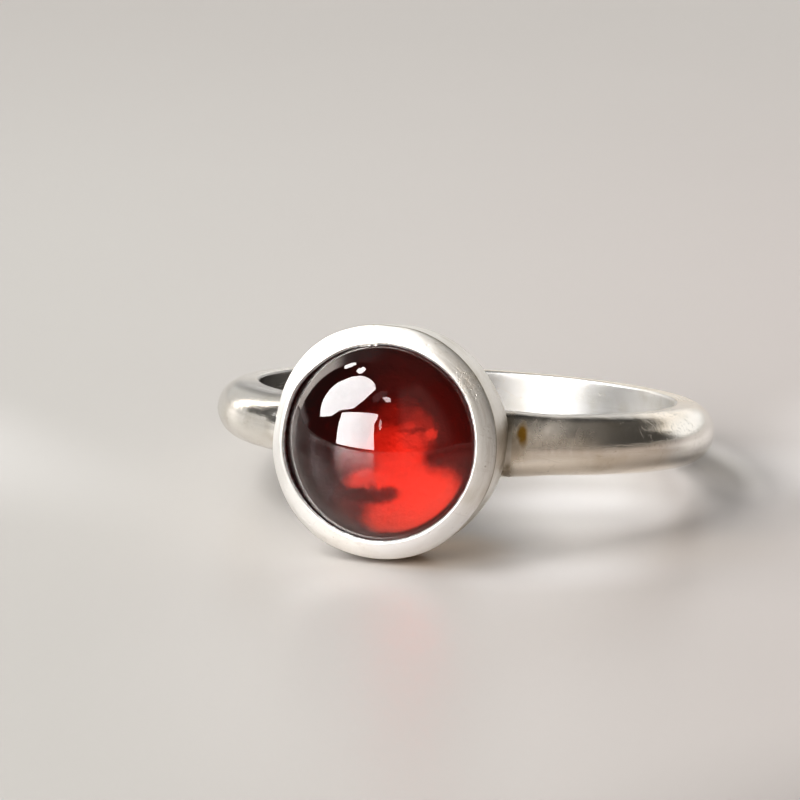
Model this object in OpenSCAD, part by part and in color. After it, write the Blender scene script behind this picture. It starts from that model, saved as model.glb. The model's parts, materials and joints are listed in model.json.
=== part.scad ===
// Silver ring with a round garnet cabochon in a closed bezel.
// The ring lies on its side: the bezel's foot and the far side of the band touch the ground at z = 0.
// The stone faces -Y and slightly up, and the origin is under the middle of the ring.

/* [Band] */
// Inside diameter, the finger's size
bore_d = 16.5; // [15:0.1:21]
// Width of the half-round wire, along the finger
band_w = 2.3; // [2:0.1:2.8]
// Thickness of the wire, from the finger out to its crown
band_t = 1.6; // [1.5:0.05:2]
// Radius of the two softened edges on the finger side
inner_edge_r = 0.25; // [0.1:0.05:0.4]

/* [Bezel] */
// Diameter over the wall at its foot
foot_d = 8.6; // [8.5:0.05:8.8]
// Diameter over the shoulder, where the wall meets the rim
shoulder_d = 8.95; // [8.9:0.05:9.4]
// Diameter of the opening that the stone shows through
opening_d = 7.45; // [7.2:0.05:7.7]
// Height of the shoulder above the foot
shoulder_h = 2.05; // [1.9:0.05:2.3]
// Height of the rim's inner edge above the foot
bezel_h = 2.6; // [2.5:0.05:3]
// Radius of the rim's gentle crown, seen in section
rim_crown_r = 1.6; // [1.2:0.1:4]
// Radius of the foot's outer edge
foot_edge_r = 0.12; // [0.05:0.01:0.3]
// Thickness of the lip at the edge of the opening
lip_t = 0.12; // [0.05:0.01:0.25]
// Distance from the finger hole out to the foot
foot_lift = 0.35; // [0.2:0.05:0.8]

/* [Garnet] */
// Diameter of the cabochon
stone_d = 8; // [7.9:0.05:8.1]
// Height of the straight girdle
girdle_h = 0.6; // [0.4:0.1:0.7]
// Height of the dome above the girdle
dome_h = 3; // [2.6:0.1:3.4]
// Clearance between the stone and the silver round it
stone_gap = 0.08; // [0.04:0.01:0.12]

/* [Hidden] */
$fn = 128;
cut = 1;

bore_r = bore_d / 2;
crown_r = band_w / 2;
wire_side = band_t - crown_r;
foot_r = foot_d / 2;
shoulder_r = shoulder_d / 2;
opening_r = opening_d / 2;
stone_r = stone_d / 2;
foot_h = bore_r + foot_lift;

// Dome: a cap of this sphere, whose centre lies on the bezel's axis above the foot
dome_r = (stone_r * stone_r + dome_h * dome_h) / (2 * dome_h);
pocket_dome_r = dome_r + stone_gap;
dome_centre_h = bezel_h - lip_t - sqrt(pocket_dome_r * pocket_dome_r - opening_r * opening_r);
girdle_top_h = dome_centre_h + dome_r - dome_h;
seat_h = girdle_top_h - girdle_h;

// Rim: its crown passes through the shoulder and the edge of the opening
rim_run = [opening_r - shoulder_r, bezel_h - shoulder_h];
rim_half = norm(rim_run) / 2;
rim_inward = [-rim_run[1], rim_run[0]] / norm(rim_run);
rim_middle = [shoulder_r, shoulder_h] + rim_run / 2;
rim_centre = rim_middle + rim_inward * sqrt(rim_crown_r * rim_crown_r - rim_half * rim_half);

// Foot edge: a round that touches the base and the sloping wall
wall_slope = atan2(shoulder_r - foot_r, shoulder_h);
foot_edge_x = foot_r - foot_edge_r * (1 - sin(wall_slope)) / cos(wall_slope);
foot_edge_end = [foot_edge_x + foot_edge_r * cos(wall_slope), foot_edge_r * (1 - sin(wall_slope))];

// Pose at rest: the foot's edge in front and the wire's crown behind reach down equally far
front_reach = foot_h + foot_edge_r;
back_reach = bore_r + wire_side;
rest_tilt = atan2(foot_edge_x, front_reach + back_reach)
    + asin((foot_edge_r - crown_r) / norm([front_reach + back_reach, foot_edge_x]));
rest_lift = back_reach * sin(rest_tilt) + crown_r;
front_y = (foot_h + dome_centre_h) * cos(rest_tilt) + dome_r;
back_y = back_reach * cos(rest_tilt) + crown_r;

// Lays the ring down, with the middle of its length over the origin
module at_rest() {
    translate([0, (front_y - back_y) / 2, rest_lift])
        rotate([-rest_tilt, 0, 0])
            children();
}

// Turns a shape that stands on the bezel's foot, facing +Z, to its place on the band
module on_bezel_axis() {
    translate([0, -foot_h, 0])
        rotate([90, 0, 0])
            children();
}

// Section of the wire, with the finger on its left
module wire_section() {
    translate([bore_r, inner_edge_r - crown_r])
        square([wire_side, band_w - 2 * inner_edge_r]);
    translate([bore_r + inner_edge_r, -crown_r])
        square([wire_side - inner_edge_r, band_w]);
    for (side = [-1, 1])
        translate([bore_r + inner_edge_r, side * (crown_r - inner_edge_r)])
            circle(r = inner_edge_r);
    intersection() {
        translate([bore_r + wire_side, 0])
            circle(r = crown_r);
        translate([bore_r + inner_edge_r, -crown_r])
            square([band_t, band_w]);
    }
}

module hoop() {
    rotate_extrude()
        wire_section();
}

// Half section of the bezel before the stone's pocket is cut
module bezel_section() {
    translate([foot_edge_x, foot_edge_r])
        circle(r = foot_edge_r);
    intersection() {
        polygon([
            [0, 0], [foot_edge_x, 0], foot_edge_end,
            [shoulder_r, shoulder_h], [shoulder_r, bezel_h], [0, bezel_h],
        ]);
        union() {
            translate(rim_centre)
                circle(r = rim_crown_r);
            polygon([
                [0, 0], [foot_edge_x, 0], foot_edge_end,
                [shoulder_r, shoulder_h], [opening_r, bezel_h], [0, bezel_h],
            ]);
        }
    }
}

// Room for the stone: a flat seat, a straight wall, and a lip that follows the dome
module stone_pocket() {
    intersection() {
        translate([0, 0, seat_h])
            cylinder(r = stone_r + stone_gap, h = bezel_h);
        translate([0, 0, dome_centre_h])
            sphere(r = pocket_dome_r);
    }
    translate([0, 0, girdle_top_h])
        cylinder(r = opening_r, h = bezel_h);
}

// Wire and bezel are soldered together, so they are one piece of silver
module band_and_bezel() {
    color("silver")
        at_rest()
            difference() {
                union() {
                    hoop();
                    on_bezel_axis()
                        rotate_extrude()
                            bezel_section();
                }
                on_bezel_axis()
                    stone_pocket();
            }
}

module garnet_cabochon() {
    color([0.55, 0.02, 0.03])
        at_rest()
            on_bezel_axis()
                intersection() {
                    translate([0, 0, seat_h])
                        cylinder(r = stone_r, h = girdle_h + dome_h + cut);
                    translate([0, 0, dome_centre_h])
                        sphere(r = dome_r);
                }
}

band_and_bezel();
garnet_cabochon();
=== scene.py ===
import json
import math
import bmesh
import bpy
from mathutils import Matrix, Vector, noise


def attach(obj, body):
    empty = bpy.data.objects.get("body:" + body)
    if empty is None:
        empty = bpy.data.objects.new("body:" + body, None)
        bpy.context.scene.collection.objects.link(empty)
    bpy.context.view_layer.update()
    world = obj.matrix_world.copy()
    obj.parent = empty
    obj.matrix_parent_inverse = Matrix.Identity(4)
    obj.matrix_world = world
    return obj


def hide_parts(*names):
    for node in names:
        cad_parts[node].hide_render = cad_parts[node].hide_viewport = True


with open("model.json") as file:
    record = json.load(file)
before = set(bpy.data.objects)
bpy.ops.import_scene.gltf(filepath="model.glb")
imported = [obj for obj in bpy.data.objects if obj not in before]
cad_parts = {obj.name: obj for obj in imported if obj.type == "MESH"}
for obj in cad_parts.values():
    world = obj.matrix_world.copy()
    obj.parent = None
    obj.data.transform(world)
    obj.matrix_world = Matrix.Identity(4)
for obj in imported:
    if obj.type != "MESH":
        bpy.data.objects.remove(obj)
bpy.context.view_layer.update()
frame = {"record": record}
print("ring frame loaded")

mm = 0.001

# the ring's own axes: side across the band, finger through the hole, stone out of the bezel
bore = frame["record"]["mounts"][0]
hoopCentre = Vector(bore["pos_m"])
fingerAxis = Vector(bore["axis"]).normalized()
sideAxis = Vector((1, 0, 0))
stoneAxis = sideAxis.cross(fingerAxis)

# all sizes in millimetres; angles in degrees, counted from the ring's right towards its top
bandShape = {
    "boreRadius": bore["dims"]["r_mm"],
    "width": 2.3,
    "thickness": 1.6,
    "innerEdge": 0.12,
    "flare": 0.10,
    "flareFrom": 42,
    "flareTo": 27,
    "around": 360,
}

bezelShape = {
    "footLift": 0.35,
    "footRadius": 4.3,
    "footEdge": 0.12,
    "shoulderRadius": 4.475,
    "shoulderHeight": 2.05,
    "shoulderEdge": 0.05,
    "openingRadius": 3.725,
    "height": 2.6,
    "crownRadius": 1.6,
    # the crown starts this many degrees in from the shoulder, with a soft point between
    "softStart": 1.6,
    "softOut": (0.006, 0.004),
    "lipThickness": 0.12,
    "lipRoll": 0.10,
    "lipBevel": 1.6,
    "stoneGap": 0.08,
    # the lip is pressed down closer than that to the stone
    "pressedGap": 0.02,
    "around": 720,
    # where the band is cut away for it: radius, and heights over the bezel's foot
    "notchRadius": 4.15,
    "notchHeights": (0.45, 4),
    "notchAround": 96,
    # ragged lip: (angle, spread, millimetres in)
    "lipChips": [(98, 9, 0.07), (255, 14, 0.025), (24, 10, 0.02)],
    # hand work: (angle, spread, millimetres out)
    "openingMarks": [(35, 24, 0.08), (152, 14, 0.085), (195, 26, 0.105), (300, 30, -0.02)],
    "shoulderMarks": [
        (128, 16, 0.08), (172, 14, -0.10), (230, 24, 0.10), (322, 16, -0.06), (88, 9, -0.04),
    ],
    "wallMarks": [(10, 14, 0.08), (326, 22, -0.09)],
}

stoneShape = {
    "radius": 4.0,
    "girdle": 0.6,
    "dome": 3.0,
    "seatGap": 0.015,
    "edge": 0.06,
    # the dome runs straight between these radii, down to the lip
    "skirtFrom": 3.25,
    "skirtTo": 3.76,
    "around": 320,
}


def mixed(low, high, share):
    return low + (high - low) * share


def smoothStep(start, end, value):
    share = min(1, max(0, (value - start) / (end - start)))
    return share * share * (3 - 2 * share)


def arc(centre, radius, start, end, steps):
    # points of a round stretch, both ends included
    return [
        (centre[0] + radius * math.cos(math.radians(mixed(start, end, n / steps))),
         centre[1] + radius * math.sin(math.radians(mixed(start, end, n / steps))))
        for n in range(steps + 1)
    ]


def straight(start, end, steps):
    # points between two ends, neither included
    return [
        (mixed(start[0], end[0], n / steps), mixed(start[1], end[1], n / steps))
        for n in range(1, steps)
    ]


def marksAt(marks, angle):
    total = 0
    for place, spread, out in marks:
        away = (angle - place + 180) % 360 - 180
        total += out * math.exp(-(away / spread) ** 2)
    return total


def onHoop(angle, radius, along):
    # angle 0 is under the stone
    turn = math.radians(angle)
    outward = stoneAxis * math.cos(turn) + sideAxis * math.sin(turn)
    return hoopCentre + (outward * radius + fingerAxis * along) * mm


def onBezel(angle, radius, height):
    turn = math.radians(angle)
    outward = sideAxis * math.cos(turn) + fingerAxis * math.sin(turn)
    rise = bandShape["boreRadius"] + bezelShape["footLift"] + height
    return hoopCentre + (outward * radius + stoneAxis * rise) * mm


def shadeSmooth(mesh):
    for face in mesh.polygons:
        face.use_smooth = True
    mesh.set_sharp_from_angle(angle=math.radians(38))


def finishMesh(name, build):
    bmesh.ops.remove_doubles(build, verts=build.verts, dist=1e-8)
    bmesh.ops.recalc_face_normals(build, faces=build.faces)
    mesh = bpy.data.meshes.new(name)
    build.to_mesh(mesh)
    build.free()
    piece = bpy.data.objects.new(name, mesh)
    bpy.context.scene.collection.objects.link(piece)
    shadeSmooth(mesh)
    return piece


def lathe(name, profile, around, place):
    # turns a profile from axis to axis; its first and last points are the poles
    build = bmesh.new()
    poles = [build.verts.new(place(0, 0, profile[0][1])), build.verts.new(place(0, 0, profile[-1][1]))]
    rings = []
    for radius, height in profile[1:-1]:
        rings.append([build.verts.new(place(360 * n / around, radius, height)) for n in range(around)])
    for n in range(around):
        after = (n + 1) % around
        build.faces.new((poles[0], rings[0][n], rings[0][after]))
        build.faces.new((poles[1], rings[-1][after], rings[-1][n]))
        for low, high in zip(rings, rings[1:]):
            build.faces.new((low[n], high[n], high[after], low[after]))
    return finishMesh(name, build)


def bandSection(angle):
    # closed outline of the wire; it swells a little where the solder drew it to the bezel
    away = abs((angle + 180) % 360 - 180)
    swell = bandShape["flare"] * (1 - smoothStep(bandShape["flareTo"], bandShape["flareFrom"], away))
    half = bandShape["width"] / 2 + swell
    inside = bandShape["boreRadius"]
    side = bandShape["thickness"] - bandShape["width"] / 2
    edge = bandShape["innerEdge"]
    points = arc((inside + edge, edge - half), edge, 180, 270, 6)
    points += straight(points[-1], (inside + side, -half), 4)
    points += arc((inside + side, 0), half, -90, 90, 40)
    points += straight(points[-1], (inside + edge, half), 4)
    points += arc((inside + edge, half - edge), edge, 90, 180, 6)
    points += straight(points[-1], (inside, edge - half), 12)
    return points


def buildHoop():
    build = bmesh.new()
    around = bandShape["around"]
    rings = []
    for n in range(around):
        angle = 360 * n / around
        outline = bandSection(angle)
        rings.append([build.verts.new(onHoop(angle, radius, along)) for radius, along in outline])
    for n, ring in enumerate(rings):
        nextRing = rings[(n + 1) % around]
        for k in range(len(ring)):
            after = (k + 1) % len(ring)
            build.faces.new((ring[k], ring[after], nextRing[after], nextRing[k]))
    return finishMesh("hoop", build)


def domeRadius():
    radius, dome = stoneShape["radius"], stoneShape["dome"]
    return (radius * radius + dome * dome) / (2 * dome)


def domeCentre():
    # height of the dome's centre above the foot: the lip closes down to the stone's clearance
    reach = domeRadius() + bezelShape["stoneGap"]
    lipBottom = bezelShape["height"] - bezelShape["lipThickness"]
    return lipBottom - math.sqrt(reach ** 2 - bezelShape["openingRadius"] ** 2)


def domeHeight(radius):
    ball = domeCentre() + math.sqrt(domeRadius() ** 2 - min(radius, stoneShape["radius"]) ** 2)
    skirt = stoneShape["skirtFrom"]
    if radius <= skirt:
        return ball
    drop = skirt / math.sqrt(domeRadius() ** 2 - skirt ** 2)
    straightOn = domeCentre() + math.sqrt(domeRadius() ** 2 - skirt ** 2) - drop * (radius - skirt)
    return mixed(straightOn, ball, smoothStep(stoneShape["skirtTo"], stoneShape["radius"], radius))


def onPressedLip(radius):
    # height of the lip's underside, which follows the dome; straight up its gap is 1.6 times as wide
    return domeHeight(radius) + bezelShape["pressedGap"] * 1.6


def seatHeight():
    return domeCentre() + domeRadius() - stoneShape["dome"] - stoneShape["girdle"]


def bezelProfile():
    shape = bezelShape
    footRadius, shoulder, top = shape["footRadius"], shape["shoulderRadius"], shape["height"]
    slope = math.atan2(shoulder - footRadius, shape["shoulderHeight"])
    edge = shape["footEdge"]
    footCentre = (footRadius - edge * (1 - math.sin(slope)) / math.cos(slope), edge)
    points = [(0, 0)] + [(footRadius * n / 8, 0) for n in range(1, 8)]
    points += arc(footCentre, edge, -90, -math.degrees(slope), 6)
    # rim crown: a wide arc from the shoulder to the edge of the opening
    run = Vector((shape["openingRadius"] - shoulder, top - shape["shoulderHeight"]))
    middle = Vector((shoulder, shape["shoulderHeight"])) + run / 2
    inward = Vector((-run.y, run.x)).normalized()
    crown = middle + inward * math.sqrt(shape["crownRadius"] ** 2 - (run.length / 2) ** 2)
    start = math.degrees(math.atan2(shape["shoulderHeight"] - crown.y, shoulder - crown.x))
    lip, roll = shape["openingRadius"], shape["lipRoll"]
    end = math.degrees(math.acos((lip + roll - crown.x) / shape["crownRadius"]))
    shoulderEdge = shape["shoulderEdge"]
    wallTop = (shoulder - shoulderEdge * math.sin(slope), shape["shoulderHeight"] - shoulderEdge)
    points += straight(points[-1], wallTop, 12)
    points.append(wallTop)
    face = arc(crown, shape["crownRadius"], start + shape["softStart"], end, 16)
    points.append(tuple(mixed(wallTop[n], face[0][n], 0.5) + shape["softOut"][n] for n in range(2)))
    points += face
    # lip: pressed over in a soft bevel down to the stone, then the underside, which follows the dome
    top, low, bevel = face[-1][1], onPressedLip(lip) + 0.01, shape["lipBevel"]
    for step in range(1, 9):
        turn = math.radians(90 * step / 8)
        out, up = 1 - math.sin(turn) ** bevel, math.cos(turn) ** bevel
        points.append((lip + roll * out, low + (top - low) * up))
    wall = stoneShape["radius"] + shape["pressedGap"]
    points += [(mixed(lip, wall, n / 8), onPressedLip(mixed(lip, wall, n / 8))) for n in range(9)]
    seat = seatHeight()
    points += straight(points[-1], (wall, seat), 5)
    points += [(wall, seat)] + [(wall * n / 10, seat) for n in range(9, 0, -1)] + [(0, seat)]
    return points


def onHandWork(angle, radius, height):
    # moves a point of the bezel by the marks of the hand tools
    shape = bezelShape
    nearRim = smoothStep(0.9, 2.0, height)
    outer = smoothStep(3.9, 4.3, radius)
    inner = smoothStep(3.3, 3.7, radius) * (1 - smoothStep(3.8, 4.2, radius))
    inner *= smoothStep(1.9, 2.1, height)
    out = marksAt(shape["shoulderMarks"], angle) * outer * nearRim
    out += marksAt(shape["wallMarks"], angle) * outer * (1 - nearRim)
    out += marksAt(shape["openingMarks"], angle) * inner
    # burrs left on the lip's edge
    atLip = (1 - smoothStep(3.76, 3.84, radius)) * smoothStep(3.5, 3.7, radius)
    atLip *= smoothStep(2.1, 2.2, height)
    turn = math.radians(angle)
    rough = noise.noise(Vector((math.cos(turn), math.sin(turn), 0.2)) * 26) * 0.9
    rough += noise.noise(Vector((math.cos(turn), math.sin(turn), 0.7)) * 70) * 0.7
    chips = marksAt(shape["lipChips"], angle)
    out -= chips * atLip * min(1.3, max(-0.3, 0.35 + rough))
    if 3.5 < radius < stoneShape["radius"] + shape["pressedGap"] + 0.001 and height > 1.2:
        # the wall and the underside keep their distance from the dome
        lowest = onPressedLip(radius + out)
        if height < onPressedLip(radius) + 0.001:
            height = lowest
        height = max(height, lowest + 0.1 * (height - onPressedLip(radius)))
    return onBezel(angle, radius + out, height)


def combine(base, tool, operation):
    # joins a second closed shape to the first or cuts it out, and removes it
    step = base.modifiers.new(operation, "BOOLEAN")
    step.operation = operation
    step.object = tool
    step.solver = "EXACT"
    graph = bpy.context.evaluated_depsgraph_get()
    mesh = bpy.data.meshes.new_from_object(base.evaluated_get(graph))
    base.modifiers.clear()
    old = base.data
    base.data = mesh
    bpy.data.meshes.remove(old)
    bpy.data.objects.remove(tool)


def buildSilver():
    hoop = buildHoop()
    wide, (low, high) = bezelShape["notchRadius"], bezelShape["notchHeights"]
    outline = [(0, low), (wide, low), (wide, high), (0, high)]
    combine(hoop, lathe("notch", outline, bezelShape["notchAround"], onBezel), "DIFFERENCE")
    bezel = lathe("silver_ring", bezelProfile(), bezelShape["around"], onHandWork)
    combine(bezel, hoop, "UNION")
    shadeSmooth(bezel.data)
    return bezel


def buildStone():
    radius, edge = stoneShape["radius"], stoneShape["edge"]
    seat = seatHeight() + stoneShape["seatGap"]
    girdleTop = seatHeight() + stoneShape["girdle"]
    reach = domeRadius()
    skirt = stoneShape["skirtFrom"]
    points = [(0, seat)] + [((radius - edge) * n / 10, seat) for n in range(1, 10)]
    points += arc((radius - edge, seat + edge), edge, -90, 0, 4)
    points += straight(points[-1], (radius, girdleTop - 0.05), 4)
    points += [(radius, girdleTop - 0.05)]
    skirtRadii = [mixed(radius - 0.01, skirt, n / 40) for n in range(40)]
    points += [(r, domeHeight(r)) for r in skirtRadii]
    points += arc((0, domeCentre()), reach, math.degrees(math.acos(skirt / reach)), 89.2, 72)
    points.append((0, domeCentre() + reach))
    return lathe("garnet_stone", points, stoneShape["around"], onBezel)


silver = buildSilver()
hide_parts("band_and_bezel")
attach(silver, "root")
print("silver built:", len(silver.data.polygons), "faces")

stone = buildStone()
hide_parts("garnet_cabochon")
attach(stone, "root")
print("garnet built:", len(stone.data.polygons), "faces")


class Socket:
    # one value in a material; arithmetic on it adds Math nodes
    def __init__(self, mat, link):
        self.mat = mat
        self.link = link

    def math(self, operation, *values, clamp=False):
        return self.mat.add("ShaderNodeMath", {"operation": operation, "use_clamp": clamp}, *values)

    def __add__(self, other):
        return self.math("ADD", self, other)

    def __radd__(self, other):
        return self.math("ADD", other, self)

    def __sub__(self, other):
        return self.math("SUBTRACT", self, other)

    def __rsub__(self, other):
        return self.math("SUBTRACT", other, self)

    def __mul__(self, other):
        return self.math("MULTIPLY", self, other)

    def __rmul__(self, other):
        return self.math("MULTIPLY", other, self)

    def __truediv__(self, other):
        return self.math("DIVIDE", self, other)

    def __abs__(self):
        return self.math("ABSOLUTE", self)

    def clamped(self):
        return self.math("ADD", self, 0.0, clamp=True)

    def rising(self, start, end):
        # 0 below start, 1 above end, smooth between
        settings = {"interpolation_type": "SMOOTHSTEP"}
        return self.mat.add("ShaderNodeMapRange", settings, self, float(start), float(end), 0.0, 1.0)

    def falling(self, start, end):
        return 1 - self.rising(start, end)

    def near(self, place, spread):
        return abs(self - place).falling(0, spread)

    def most(self, other):
        return self.math("MAXIMUM", self, other)


class Material:
    def __init__(self, name, world=False):
        if world:
            self.owner = bpy.data.worlds.new(name)
        else:
            self.owner = bpy.data.materials.new(name)
        self.owner.use_nodes = True
        self.nodes = self.owner.node_tree.nodes
        self.links = self.owner.node_tree.links
        self.nodes.clear()

    def add(self, kind, settings=None, *values, output=0, **named):
        # makes a node: settings first, then its sockets by place or by name
        node = self.nodes.new(kind)
        for key, value in (settings or {}).items():
            setattr(node, key, value)
        sockets = [s for s in node.inputs if s.enabled]
        for socket, value in zip(sockets, values):
            self.feed(socket, value)
        for key, value in named.items():
            self.feed(next(s for s in sockets if s.name.replace(" ", "") == key), value)
        if isinstance(output, str):
            return Socket(self, node.outputs[output])
        outputs = [s for s in node.outputs if s.enabled]
        return Socket(self, outputs[output]) if outputs else None

    def feed(self, socket, value):
        if isinstance(value, Socket):
            self.links.new(value.link, socket)
        elif value is not None:
            if isinstance(value, tuple) and len(value) == 3 and socket.type == "RGBA":
                value = (*value, 1)
            socket.default_value = value

    def mixColour(self, low, high, factor):
        return self.add("ShaderNodeMix", {"data_type": "RGBA"}, factor, low, high)

    def vector(self, x, y, z):
        return self.add("ShaderNodeCombineXYZ", {}, x, y, z)

    def noise(self, place, scale, detail=2.0, roughness=0.5, w=None):
        settings = {"noise_dimensions": "4D" if w else "3D"}
        named = {"Scale": float(scale), "Detail": float(detail), "Roughness": roughness}
        if w:
            named["W"] = w
        return self.add("ShaderNodeTexNoise", settings, Vector=place, **named)

    def bump(self, height, distance):
        return self.add("ShaderNodeBump", {}, Strength=1.0, Distance=distance, Height=height)

    def surface(self, **named):
        return self.add("ShaderNodeBsdfPrincipled", {}, **named)

    def finish(self, shader, volume=None):
        self.add("ShaderNodeOutputMaterial", {}, shader, volume)
        return self.owner


class RingSpace:
    # places on the ring in millimetres: across the band, up out of the stone, along the finger
    def __init__(self, mat):
        self.mat = mat
        here = mat.add("ShaderNodeTexCoord", output="Object")
        offset = mat.add("ShaderNodeVectorMath", {"operation": "SUBTRACT"}, here, tuple(hoopCentre))
        axes = (sideAxis, stoneAxis, fingerAxis)
        self.across, self.up, self.along = [self.measure(offset, axis) for axis in axes]
        self.place = mat.vector(self.across, self.up, self.along)
        self.height = self.up - (bandShape["boreRadius"] + bezelShape["footLift"])
        self.hoopRadius = self.across.math("SQRT", self.across * self.across + self.up * self.up)
        self.bezelRadius = self.across.math("SQRT", self.across * self.across + self.along * self.along)

    def measure(self, offset, axis):
        settings = {"operation": "DOT_PRODUCT"}
        return self.mat.add("ShaderNodeVectorMath", settings, offset, tuple(axis / mm), output="Value")

    # places drawn out along the band or round the bezel, with a fourth coordinate for the noise
    def alongBand(self, fine, long):
        place = self.mat.vector(self.across * long, self.up * long, self.along * fine)
        return place, self.hoopRadius * fine

    def roundBezel(self, fine, long):
        place = self.mat.vector(self.across * long, self.along * long, self.height * fine)
        return place, self.bezelRadius * fine


def hairlines(mat, place, turn, length, thin, least):
    # thin scratches: the peaks of a drawn-out noise, kept only in places
    size = (length, thin, thin)
    settings = {"vector_type": "TEXTURE"}
    turned = mat.add("ShaderNodeMapping", settings, Vector=place, Rotation=turn, Scale=size)
    kept = mat.noise(place, 0.7, 1.0).rising(0.42, 0.55)
    return mat.noise(turned, 1.0, 1.0).rising(least, least + 0.05) * kept


def pinholes(mat, place, scale, share):
    # small pits in this share of the cells
    cells = ("ShaderNodeTexVoronoi", {"voronoi_dimensions": "3D"})
    away = mat.add(*cells, Vector=place, Scale=scale, output="Distance")
    colour = mat.add(*cells, Vector=place, Scale=scale, output="Color")
    chance = mat.add("ShaderNodeSeparateColor", {}, colour)
    return away.falling(0.10, 0.30) * chance.rising(1 - share, 1.02 - share)


def blot(across, along, spot):
    # soft oval: (across, along, half width, half height, share, turn in degrees, softness)
    x, y, wide, high, share, turn, soft = spot
    c, n = math.cos(math.radians(turn)), math.sin(math.radians(turn))
    dx, dy = across - x, along - y
    u = (dx * c + dy * n) / wide
    v = (dy * c - dx * n) / high
    return u.math("SQRT", u * u + v * v).falling(1 - soft, 1 + soft) * share


def strongest(masks):
    found = masks[0]
    for mask in masks[1:]:
        found = found.most(mask)
    return found


silverLook = {
    "bezel": (0.87, 0.845, 0.805),
    "band": (0.91, 0.84, 0.745),
    # painted highlight: its left and right ends are paler
    "bandEnds": (0.90, 0.875, 0.83),
    # painted dark reflection along the band's upper inside edge
    "greyEdge": (0.40, 0.39, 0.375),
    # painted shade: the inside of the band is darker, paler towards its right
    "bore": (0.44, 0.435, 0.425),
    "boreRight": (0.72, 0.71, 0.69),
    # colour of tarnish on pits and scratches, also used for painted shade
    "tarnish": (0.42, 0.36, 0.28),
    "ochre": (0.26, 0.145, 0.012),
    "bezelRoughness": 0.50,
    "bandRoughness": 0.15,
    "boreRoughness": 0.22,
    "farRoughness": 0.32,
    # beside the solder joint, as soft ovals: grey film, an ochre stain, a dot of solder, a pale spot
    "film": [
        (5.9, 0.48, 1.7, 0.60, 0.85, 0, 0.7),
        (4.95, 0.25, 0.75, 0.80, 0.7, 0, 0.7),
        (5.55, 0.72, 0.50, 0.40, 1.0, 10, 0.6),
    ],
    "ochreSpot": (4.84, 0.50, 0.16, 0.42, 1.0, 12, 0.55),
    "ochreTail": (4.74, -0.15, 0.30, 0.40, 0.22, 22, 0.8),
    "solderDot": (4.40, 0.38, 0.20, 0.20, 0.8, 0, 0.8),
    "paleSpot": (5.68, 0.70, 0.50, 0.32, 0.55, 0, 0.9),
    # what clouds multiply the silver's colour by, and what the film and the pale spot turn it to
    "dulled": (0.86, 0.84, 0.80),
    "filmed": (0.56, 0.50, 0.43),
    "pale": (0.88, 0.82, 0.74),
    # the rim: streaks at its right, painted shade on its left side and a painted highlight on its lower
    # right
    "streak": (0.62, 0.56, 0.49),
    "dullRim": (0.67, 0.66, 0.64),
    "brightRim": (0.93, 0.925, 0.915),
    "relief": 0.00004,
}


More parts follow.
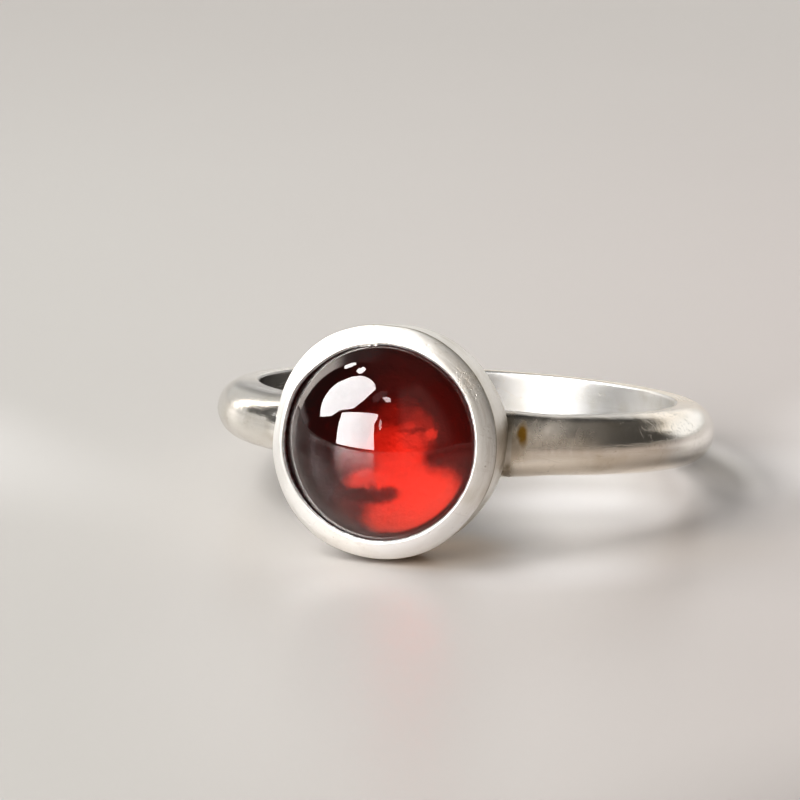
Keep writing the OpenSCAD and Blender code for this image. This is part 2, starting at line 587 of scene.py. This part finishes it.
def makeSilver():
    look = silverLook
    mat = Material("satin silver")
    space = RingSpace(mat)
    across, up, along, height = space.across, space.up, space.along, space.height

    # parts of the ring
    bezelPart = space.bezelRadius.falling(4.50, 4.56) * height.rising(-0.05, 0.05)
    borePart = space.hoopRadius.falling(8.28, 8.36)
    bandPart = up.rising(2.0, 2.4) * (1 - bezelPart) * (1 - borePart)
    rimPart = height.rising(1.95, 2.05)

    # strokes of the polish, clouds and grain
    bandPlace, bandW = space.alongBand(7.0, 0.5)
    bezelPlace, bezelW = space.roundBezel(6.0, 0.8)
    bandStrokes = mat.noise(bandPlace, 1.0, 4.0, 0.6, w=bandW)
    bezelStrokes = mat.noise(bezelPlace, 1.0, 4.0, 0.6, w=bezelW)
    strokes = bandStrokes + (bezelStrokes - bandStrokes) * bezelPart
    streaks = mat.noise(mat.vector(across * 2.4, along * 0.5, 0.0), 1.0, 2.0, 0.6)
    clouds = mat.noise(space.place, 0.8, 3.0)
    grain = mat.noise(space.place, 14.0, 3.0, 0.7)
    ragged = mat.noise(space.place, 5.0, 3.0, 0.6)
    ragged2 = mat.noise(space.place, 4.0, 3.0, 0.6, w=3.7)

    # scratches, and the pitted patch on the rim's upper right
    scratches = strongest([
        hairlines(mat, space.place, (0.0, 0.5, 0.0), 5.0, 0.13, 0.66),
        hairlines(mat, space.place, (0.0, 2.1, 0.1), 4.0, 0.12, 0.67),
        hairlines(mat, space.place, (0.3, 0.2, -0.75), 4.0, 0.12, 0.67),
    ])
    worked = across.near(3.25, 1.1) * along.near(2.45, 1.3) * rimPart
    worked = (worked * (clouds * 1.4 + 0.2)).clamped()
    pits = pinholes(mat, space.place, 6.0, 0.03)
    pits = pits.most(pinholes(mat, space.place, 9.0, 0.45) * worked.rising(0.1, 0.5))
    mottle = mat.noise(space.place, 9.0, 3.0, 0.7).rising(0.45, 0.62) * worked

    # darker marks: patina with painted shade where the wire meets the bezel, painted shade along the
    # lip and under the foot, and a darker line along the shoulder
    nearFoot = height.rising(-1.6, -1.2)
    joint = (abs(along) + (ragged - 0.5) * 0.9).falling(0.7, 1.7)
    joint = joint * (height + (ragged2 - 0.5) * 0.8).falling(0.2, 1.3)
    jointPatinaAndShade = space.bezelRadius.near(4.40, 0.34) * joint * nearFoot
    # painted shade along the lip
    lip = space.bezelRadius.near(3.70, 0.06) * height.rising(2.2, 2.4)
    # painted shade low on the bezel by the floor
    under = height.falling(0.0, 0.25) * nearFoot * space.bezelRadius.falling(4.4, 4.6)
    tarnishAndPaintedShade = ((jointPatinaAndShade * 0.75 + lip * 0.25 + under * 0.35) * (clouds * 0.9 + 0.45)).clamped()
    shoulderLine = space.bezelRadius.near(4.47, 0.16) * height.near(2.03, 0.055) * (grain * 0.9 + 0.4)

    # stains beside the solder joint
    stained = along + (ragged - 0.5) * 0.12
    ochre = blot(across + (ragged2 - 0.5) * 0.1, stained, look["ochreSpot"])
    ochre = ochre.most(blot(across, stained, look["ochreTail"]))
    ochre = (ochre * bandPart * (ragged2 * 0.8 + 0.6)).clamped()
    dot = blot(across, along, look["solderDot"]) * bandPart
    dotRim = (dot * (1 - dot) * 4).clamped()
    frayed = along + (ragged - 0.5) * 0.2
    film = strongest([blot(across + (streaks - 0.5) * 1.4, frayed, spot) for spot in look["film"]])
    film = film * bandPart * (streaks.rising(0.3, 0.65) * 0.6 + 0.4)
    pale = blot(across + (streaks - 0.5) * 0.5, frayed, look["paleSpot"]) * bandPart

    # painted highlight: the band paler at its two ends; painted dark reflection: grey along its upper
    # inside edge; painted shade: a darker inside, paler to the right
    ends = across.falling(-5.2, -3.8).most(across.rising(8.9, 9.5))
    paintedDarkEdgeMask = along.rising(0.85, 1.0) * space.hoopRadius.falling(9.15, 9.5) * up.rising(2.5, 5.0)
    inside = mat.mixColour(look["bore"], look["boreRight"], across.rising(3.6, 6.2))
    base = mat.mixColour(look["band"], look["bandEnds"], ends)
    base = mat.mixColour(base, look["greyEdge"], paintedDarkEdgeMask * 0.85)
    base = mat.mixColour(base, look["bezel"], bezelPart)
    base = mat.mixColour(base, inside, borePart)
    dulled = mat.add("ShaderNodeVectorMath", {"operation": "MULTIPLY"}, base, look["dulled"])
    colour = mat.mixColour(base, dulled, clouds.rising(0.45, 0.75) * 0.8)
    streak = rimPart * bezelStrokes.rising(0.42, 0.62) * across.rising(0.5, 2.5)
    streak = streak * space.bezelRadius.rising(3.9, 4.2)
    # painted shade on the rim's left side, painted highlight on its lower right
    dullRim = rimPart * across.falling(-3.2, -0.8) * along.falling(1.4, 2.6)
    brightRim = rimPart * across.rising(-1.5, 0.8) * along.falling(-3.0, -1.5)
    for tint, share in [
        ("tarnish", tarnishAndPaintedShade),
        ("tarnish", (pits * 0.45 + scratches * 0.18).clamped()),
        ("tarnish", (mottle * 0.42 + shoulderLine).clamped()),
        ("streak", streak * 0.28),
        ("dullRim", dullRim * 0.75),
        ("brightRim", brightRim * 0.8),
        ("filmed", film),
        ("pale", pale),
        ("tarnish", dotRim * 0.6),
        ("ochre", ochre),
    ]:
        colour = mat.mixColour(colour, look[tint], share)

    # the far side of the band is duller, the bezel's wall a little brighter
    wall = bezelPart * space.bezelRadius.rising(4.15, 4.25) * height.falling(1.8, 2.0)
    bandRoughness = look["bandRoughness"]
    rough = bandRoughness + bezelPart * (look["bezelRoughness"] - bandRoughness)
    rough = rough + borePart * (look["boreRoughness"] - bandRoughness)
    rough = rough + up.falling(-6, 1) * (look["farRoughness"] - bandRoughness) - wall * 0.12
    rough = rough + (strokes - 0.5) * 0.12 + (clouds - 0.5) * 0.08 + tarnishAndPaintedShade * 0.20 + mottle * 0.1
    rough = rough + film * 0.2 + ochre * 0.3 + pale * 0.1
    relief = strokes * 0.22 + grain * 0.07 + clouds * 0.6 + dot * 0.3
    relief = relief - scratches * 0.07 - pits * 0.3 - mottle * 0.12
    normal = mat.bump(relief * (1 - borePart * 0.6), look["relief"])
    metal = 1 - (film * 0.3 + ochre * 0.6 + pale * 0.35).clamped()
    rough = rough.clamped()
    return mat.finish(mat.surface(BaseColor=colour, Metallic=metal, Roughness=rough, Normal=normal))


# pocket under the stone: painted light, bright soft ovals where light through the stone gathers, cut by
# dark marks, and painted shade elsewhere, darker towards the left
cupLook = {
    # colour of the painted glow
    "bright": (0.92, 0.97, 0.93),
    "dark": (0.155, 0.105, 0.09),
    "deep": (0.07, 0.05, 0.045),
    # soft ovals, as blot takes them
    "clean": [
        (0.84, -1.66, 1.24, 0.92, 0.92, 10, 0.34),
        (1.38, -1.48, 0.94, 0.74, 0.92, 15, 0.50),
        (0.20, -2.02, 0.72, 0.54, 0.94, 0, 0.45),
        (0.34, -0.70, 0.70, 0.55, 0.90, 0, 0.35),
        (0.50, -0.12, 0.40, 0.50, 0.70, 0, 0.45),
        (-0.02, -0.10, 0.46, 0.46, 0.62, 0, 0.35),
        (0.36, 0.34, 0.86, 0.62, 0.25, -10, 0.32),
        (0.78, 0.30, 0.46, 0.50, 0.16, 40, 0.30),
        (1.08, 0.24, 0.20, 0.12, 0.80, 14, 0.45),
        (-0.42, -0.98, 0.60, 0.24, 0.88, 8, 0.35),
        (-0.72, -0.55, 0.46, 0.42, 0.30, 0, 0.70),
        (-0.80, -1.70, 0.50, 0.50, 0.13, 0, 0.90),
    ],
    "stains": [
        (-0.14, -1.36, 0.40, 0.17, 0.86, 8, 0.60),
        (0.10, -1.28, 0.20, 0.14, 0.55, 30, 0.60),
        (-0.35, -1.22, 0.14, 0.16, 0.50, 0, 0.60),
        (-0.75, -1.42, 0.42, 0.16, 0.85, 0, 0.50),
        (0.62, 0.27, 0.33, 0.045, 0.55, 8, 0.80),
    ],
}


def makeCup():
    mat = Material("silver under the stone")
    space = RingSpace(mat)
    stray = mat.noise(space.place, 1.6, 3.0, 0.6)
    stray2 = mat.noise(mat.vector(space.along, space.across, space.up), 1.9, 3.0, 0.6)
    across = space.across + (stray - 0.5) * 0.3
    along = space.along + (stray2 - 0.5) * 0.3
    # painted light: the glow gathered under the stone, fading out near the wall
    outsideGlow = 1
    for spot in cupLook["clean"]:
        outsideGlow = outsideGlow * (1 - blot(across, along, spot))
    clean = 1 - outsideGlow
    for spot in cupLook["stains"]:
        clean = clean * (1 - blot(across, along, spot))
    clean = clean * space.bezelRadius.falling(2.52, 2.72)
    # painted shade, darker towards the left
    dark = mat.mixColour(cupLook["deep"], cupLook["dark"], space.across.rising(-1.6, 0.4))
    colour = mat.mixColour(dark, cupLook["bright"], clean)
    normal = mat.bump(stray * 0.6 + mat.noise(space.place, 7.0, 3.0) * 0.2, 0.0001)
    return mat.finish(mat.surface(BaseColor=colour, Metallic=0.6, Roughness=0.6, Normal=normal))


# the colour that light keeps inside, and how fast the rest is lost, for one metre
garnetLook = {"index": 1.75, "through": (0.895, 0.285, 0.15), "density": 700.0}


def makeGarnet():
    mat = Material("garnet")
    index = garnetLook["index"]
    shader = mat.surface(BaseColor=(1.0, 1.0, 1.0), Roughness=0.0, IOR=index, TransmissionWeight=1.0)
    inside = mat.add("ShaderNodeVolumeAbsorption", {}, garnetLook["through"], garnetLook["density"])
    return mat.finish(shader, inside)


def ringMeasure(point):
    # radius from the stone's axis and height above the bezel's foot, in millimetres
    offset = (point - hoopCentre) / mm
    height = offset.dot(stoneAxis) - bandShape["boreRadius"] - bezelShape["footLift"]
    return math.hypot(offset.dot(sideAxis), offset.dot(fingerAxis)), height


# rolled edge beside the stone: painted shade darkens its right side, and its lower part in the gap is
# painted paler than its shade, with darker grime patches
lipLook = {
    "left": (0.47, 0.45, 0.42),
    "right": (0.25, 0.24, 0.22),
    "low": (0.60, 0.65, 0.66),
    "grime": (0.20, 0.18, 0.165),
}


def makeLip():
    mat = Material("silver lip")
    space = RingSpace(mat)
    patches = mat.noise(space.place, 5.0, 3.0, 0.6)
    low = (space.height + (patches - 0.5) * 0.10).falling(2.47, 2.56)
    # painted shade darkens the upper lip on its right; the lower part is painted paler than its shade
    upper = mat.mixColour(lipLook["left"], lipLook["right"], space.across.rising(-1.5, 1.5))
    colour = mat.mixColour(upper, lipLook["low"], low)
    colour = mat.mixColour(colour, lipLook["grime"], patches.rising(0.54, 0.68) * low * 0.8)
    metal = 1 - low * 0.85
    rough = patches * 0.2 + 0.4
    normal = mat.bump(patches, 0.00002)
    return mat.finish(mat.surface(BaseColor=colour, Metallic=metal, Roughness=rough, Normal=normal))


def paintSilver(piece):
    # the pocket and the lip get their own materials
    piece.data.materials.clear()
    piece.data.materials.append(makeSilver())
    piece.data.materials.append(makeCup())
    piece.data.materials.append(makeLip())
    wall = stoneShape["radius"] + bezelShape["pressedGap"]
    for face in piece.data.polygons:
        radius, height = ringMeasure(face.center)
        outward = (face.center - hoopCentre) / mm
        outward = outward - stoneAxis * outward.dot(stoneAxis)
        inward = face.normal.dot(outward.normalized()) < -0.5
        underLip = radius < wall + 0.01 and height < onPressedLip(min(radius, wall)) + 0.01
        if underLip and height > seatHeight() - 0.02 and height < 1.9:
            face.material_index = 1
        elif (underLip or inward) and radius < wall + 0.01 and height > 1.8:
            face.material_index = 2


def paintStone(piece):
    # the flat back lies on the seat and shows its painted glow and shade
    piece.data.materials.clear()
    piece.data.materials.append(makeGarnet())
    piece.data.materials.append(makeCup())
    for face in piece.data.polygons:
        height = ringMeasure(face.center)[1]
        face.material_index = 1 if height < seatHeight() + stoneShape["seatGap"] + 0.001 else 0


paintSilver(silver)
paintStone(stone)
print("silver and garnet finished")


def direction(azimuth, elevation):
    # azimuth 0 is in front of the stone, positive to the right
    a, e = math.radians(azimuth), math.radians(elevation)
    return Vector((math.sin(a) * math.cos(e), -math.cos(a) * math.cos(e), math.sin(e)))


floorLook = {
    "half": 4.0,
    "left": (0.352, 0.340, 0.322),
    "right": (0.346, 0.318, 0.304),
    # painted shade: the floor's colour farther back
    "far": (0.300, 0.284, 0.268),
    "roughness": 0.30,
    "index": 1.36,
    # its tint drifts along this direction, and painted shade darkens it backwards, between these
    # distances in millimetres
    "turn": 18,
    "toRight": (-22, 24),
    "toFar": (20, 110),
    # painted light and shade: pools of light the silver throws down, lightened and darkened shadows,
    # and dark or pale areas far off that show in the silver: a colour, then soft ovals in millimetres
    "patches": [
        # painted light: pools of light beside and under the ring, lightening its shadows
        ((0.56, 0.54, 0.53), [
            (4.6, 0.4, 2.6, 1.6, 0.85, 18, 0.8),
            (7.4, -1.2, 4.6, 3.0, 0.25, 18, 0.8),
            (6.0, -6.5, 4.0, 3.0, 0.85, 18, 0.8),
            (8.0, -4.0, 2.8, 2.6, 0.40, 18, 0.8),
            (9.6, 1.2, 3.0, 3.0, 0.40, 18, 0.8),
            (10.8, 6.6, 3.4, 3.4, 0.60, 18, 0.7),
            (4.5, -20.0, 7.0, 14.0, 0.17, 18, 0.9),
            (15.5, 12.5, 4.0, 7.0, 0.60, 18, 0.8),
        ]),
        # brighter painted light in the ring's shadow beside the band
        ((0.82, 0.79, 0.76), [
            (5.2, -4.6, 2.2, 3.2, 0.55, 18, 0.8),
            (9.2, 6.9, 0.9, 3.2, 1.0, 30, 0.8),
        ]),
        # warm painted light lifting the shadow beside the bezel's foot
        ((0.78, 0.64, 0.51), [(1.6, -7.2, 2.0, 1.8, 0.95, 18, 0.8)]),
        # painted shadow at the ring's right
        ((0.20, 0.18, 0.165), [
            (11.8, -0.4, 1.8, 1.8, 0.25, 18, 0.8),
            (17.2, 2.6, 2.6, 3.2, 0.45, 18, 0.8),
        ]),
        # warm painted shade in the ring's shadows
        ((0.325, 0.280, 0.240), [
            (9.8, -4.2, 3.6, 2.4, 0.30, 18, 0.8),
            (3.4, -8.4, 1.7, 1.5, 0.40, 18, 0.8),
        ]),
        # painted dark area far off, reflected in the silver
        ((0.12, 0.11, 0.10), [(86.0, 12.0, 45.0, 34.0, 0.75, 0, 0.35)]),
        # painted dark areas at the left, reflected in the stone and silver
        ((0.15, 0.14, 0.135), [
            (-19.9, -21.2, 7.0, 20.0, 0.60, 18, 0.14),
            (-33.0, -16.0, 11.0, 9.0, 0.60, 0, 0.3),
        ]),
        # painted dark area far off at the right, reflected in the stone and silver
        ((0.12, 0.11, 0.105), [(56.0, -40.0, 34.0, 26.0, 0.70, 0, 0.3)]),
        # painted pale area far off at the left, reflected in the silver
        ((0.58, 0.57, 0.56), [(-42.0, 10.0, 24.0, 6.0, 0.60, -28, 0.6)]),
        # painted dark area far off at the left front, reflected in the silver
        ((0.10, 0.09, 0.085), [(-50.0, -32.0, 22.0, 22.0, 0.85, 0, 0.15)]),
    ],
}


def makeFloor():
    build = bmesh.new()
    half = floorLook["half"]
    corners = [(-half, -half), (half, -half), (half, half), (-half, half)]
    build.faces.new([build.verts.new((x, y, 0)) for x, y in corners])
    floor = finishMesh("floor", build)
    mat = Material("pale floor")
    here = mat.add("ShaderNodeTexCoord", output="Object")
    cloud = mat.noise(here, 30.0, 3.0)
    x, y = [mat.add("ShaderNodeSeparateXYZ", {}, here, output=n) / mm for n in range(2)]
    turn = math.radians(floorLook["turn"])
    toRight = x * math.cos(turn) + y * math.sin(turn) + (cloud - 0.5) * 8
    colour = mat.mixColour(floorLook["left"], floorLook["right"], toRight.rising(*floorLook["toRight"]))
    # painted shade: darker farther back
    colour = mat.mixColour(colour, floorLook["far"], y.rising(*floorLook["toFar"]))
    # painted light and shade on the floor
    for tint, spots in floorLook["patches"]:
        for spot in spots:
            colour = mat.mixColour(colour, tint, blot(x, y, spot))
    rough = cloud * 0.05 + floorLook["roughness"]
    shader = mat.surface(BaseColor=colour, Roughness=rough, IOR=floorLook["index"])
    floor.data.materials.append(mat.finish(shader))


makeFloor()
print("floor laid")

# soft lights: outlines as (azimuth, elevation) seen from the ring
lightCards = {
    "window_light": {
        "outline": [(-52.8, 29.3), (-5.7, 39.3), (-5.7, 34.5), (-8.1, 29.0), (-5.2, 2.6), (-47.7, 1.9)],
        "brightness": 11.8,
        # between these azimuths it falls off towards its right edge
        "fade": (-42, -8),
    },
    "curtain_light": {
        "outline": [
            (-78.5, 14.3), (-83.5, 19.3), (-88, 23.8), (-89.2, 28.7), (-91.2, 33.1), (-91.5, 38.9),
            (-89.9, 45.3), (-87.9, 52.4), (-83, 59.4), (-74.4, 64.3), (-60.7, 67.5), (-45.8, 67.6),
            (-31.1, 64.8), (-28.1, 61.7), (-31.3, 55.9), (-33.5, 49.5), (-37.7, 43.1), (-41, 37.7),
            (-47.9, 34.2), (-55.9, 30.1), (-60.9, 24.6), (-64.3, 20.8),
        ],
        "brightness": 10.5,
    },
    "side_light": {
        "outline": [
            (-115, 51), (-116, 49), (-115.7, 44.5), (-114.6, 42), (-111, 42), (-108, 44), (-108, 49),
            (-111, 52),
        ],
        "brightness": 9,
    },
    "high_light": {
        "outline": [
            (-96.7, 55.2), (-102.1, 56.9), (-104.1, 60.7), (-96.4, 64.1), (-88.3, 61.8), (-87.1, 58.9),
        ],
        "brightness": 11,
    },
    "top_light": {
        "outline": [(-8.2, 57), (0.3, 59.1), (8.3, 57.4), (8.3, 53.5), (1, 52.7)],
        "brightness": 7,
    },
    "slit_light": {
        "outline": [(-2.1, 35.5), (0.5, 32), (0.9, 25.8), (-0.5, 22.6), (-3, 27.5)],
        "brightness": 5,
    },
    "haze_light": {
        "outline": [
            (-22, 60), (-14, 64.5), (-2, 65), (0, 61), (-8, 57.2), (-12, 51.5), (-19, 50), (-24.5, 54),
        ],
        "brightness": 0.6,
    },
}
cardLook = {
    "distance": 1.6,
    "folds": ((0.82, 0.82, 0.82), (1.18, 1.18, 1.18)),
    "faded": (0.78, 0.76, 0.76),
}


def makeCard(name, outline, brightness, fade=None):
    # a flat card that faces the ring, its middle at the set distance
    middle = sum((direction(*corner) for corner in outline), Vector()).normalized()
    build = bmesh.new()
    corners = []
    for corner in outline:
        way = direction(*corner)
        corners.append(build.verts.new(hoopCentre + way * (cardLook["distance"] / way.dot(middle))))
    build.faces.new(corners)
    card = finishMesh(name, build)
    mat = Material(name)
    here = mat.add("ShaderNodeTexCoord", output="Object")
    folds = mat.noise(here, 6.0, 3.0)
    colour = mat.mixColour(*cardLook["folds"], folds)
    if fade:
        x, y = [mat.add("ShaderNodeSeparateXYZ", {}, here, output=n) for n in range(2)]
        azimuth = x.math("ARCTAN2", x, 0 - y) * (180 / math.pi)
        colour = mat.mixColour(colour, cardLook["faded"], azimuth.rising(*fade))
    shader = mat.add("ShaderNodeEmission", {}, colour, float(brightness))
    card.data.materials.append(mat.finish(shader))


for name, card in lightCards.items():
    makeCard(name, **card)
print("lights hung:", len(lightCards))

# how bright the studio's walls are around the lights, in a plain and a warm colour
studioLook = {
    "base": 0.10,
    "backWall": 0.90,
    "leftWall": 0.50,
    "leftLow": 0.70,
    "overhead": 0.08,
    "haze": 0.58,
    "plain": (1.0, 0.985, 0.96),
    "rightFront": 0.34,
    "leftEdge": 2.2,
    "warm": (1.0, 0.93, 0.86),
}


def makeWorld():
    look = studioLook
    world = Material("studio", world=True)
    way = world.add("ShaderNodeTexCoord", output="Generated")
    x, y, z = [world.add("ShaderNodeSeparateXYZ", {}, way, output=n) for n in range(3)]
    azimuth = x.math("ARCTAN2", x, 0 - y) * (180 / math.pi)
    elevation = z.math("ARCSINE", z) * (180 / math.pi)

    # the wall behind the ring
    backWall = (azimuth.rising(129, 141) + azimuth.falling(-162, -150)) * elevation.falling(20, 32)
    # at the left and behind: a high wall, a low strip nearer the front, a warm edge
    behind = azimuth.rising(-162, -150) * azimuth.falling(-117, -113.5)
    leftWall = behind * (0.5 * elevation.falling(34, 50) + 0.5 * elevation.falling(56, 72))
    leftLow = azimuth.rising(-150, -108) * azimuth.falling(-97, -89) * elevation.falling(3, 8)
    leftEdge = behind * azimuth.rising(-127, -121) * elevation.falling(30, 42)
    leftEdge = leftEdge * (0.65 + 0.35 * elevation.rising(2, 14))
    # warm light from the front right, and the ceiling
    rightFront = azimuth.rising(15, 30) * azimuth.falling(68, 88) * elevation.falling(60, 75)
    rightFront = rightFront * (0.45 + 0.55 * elevation.rising(1, 9))
    overhead = elevation.rising(48, 70)
    # pale haze just above the floor's edge
    haze = elevation.falling(1.0, 1.6)
    left = (look["leftWall"] * leftWall).most(look["leftLow"] * leftLow)
    strength = look["base"] + look["backWall"] * backWall + left + look["overhead"] * overhead
    strength = strength * (1 - haze) + look["haze"] * haze
    glow = (look["rightFront"] * rightFront + look["leftEdge"] * leftEdge) * (1 - haze)
    plain = world.add("ShaderNodeVectorMath", {"operation": "SCALE"}, look["plain"], Scale=strength)
    warm = world.add("ShaderNodeVectorMath", {"operation": "SCALE"}, look["warm"], Scale=glow)
    colour = world.add("ShaderNodeVectorMath", {"operation": "ADD"}, plain, warm)
    world.add("ShaderNodeOutputWorld", {}, world.add("ShaderNodeBackground", {}, colour, 1.0))
    bpy.context.scene.world = world.owner


makeWorld()

# fitted to the opening, the rim and both edges of the band
cameraView = {
    "azimuth": 18.0,
    "elevation": 15.6,
    "distance": 220.0,
    "focalPixels": 5544.0,
    "hoopPixel": (465.8, 418.3),
    "picture": 800,
    "sensor": 36,
}


def makeCamera():
    data = bpy.data.cameras.new("camera")
    data.sensor_width = cameraView["sensor"]
    half = cameraView["picture"] / 2
    data.lens = cameraView["focalPixels"] / cameraView["picture"] * cameraView["sensor"]
    camera = bpy.data.objects.new("camera", data)
    bpy.context.scene.collection.objects.link(camera)
    back = direction(cameraView["azimuth"], cameraView["elevation"])
    right = Vector((0, 0, 1)).cross(back).normalized()
    up = back.cross(right)
    pixel = cameraView["distance"] / cameraView["focalPixels"]
    across = (cameraView["hoopPixel"][0] - half) * pixel
    down = (cameraView["hoopPixel"][1] - half) * pixel
    camera.location = hoopCentre + (back * cameraView["distance"] - right * across + up * down) * mm
    camera.rotation_mode = "QUATERNION"
    camera.rotation_quaternion = back.to_track_quat("Z", "Y")
    data.clip_start, data.clip_end = 0.01, 10
    bpy.context.scene.camera = camera


makeCamera()
scene = bpy.context.scene
scene.view_settings.view_transform = "Standard"
scene.view_settings.look = "High Contrast"
scene.view_settings.exposure = -0.41
scene.cycles.sample_clamp_indirect = 40
print("studio and camera set")
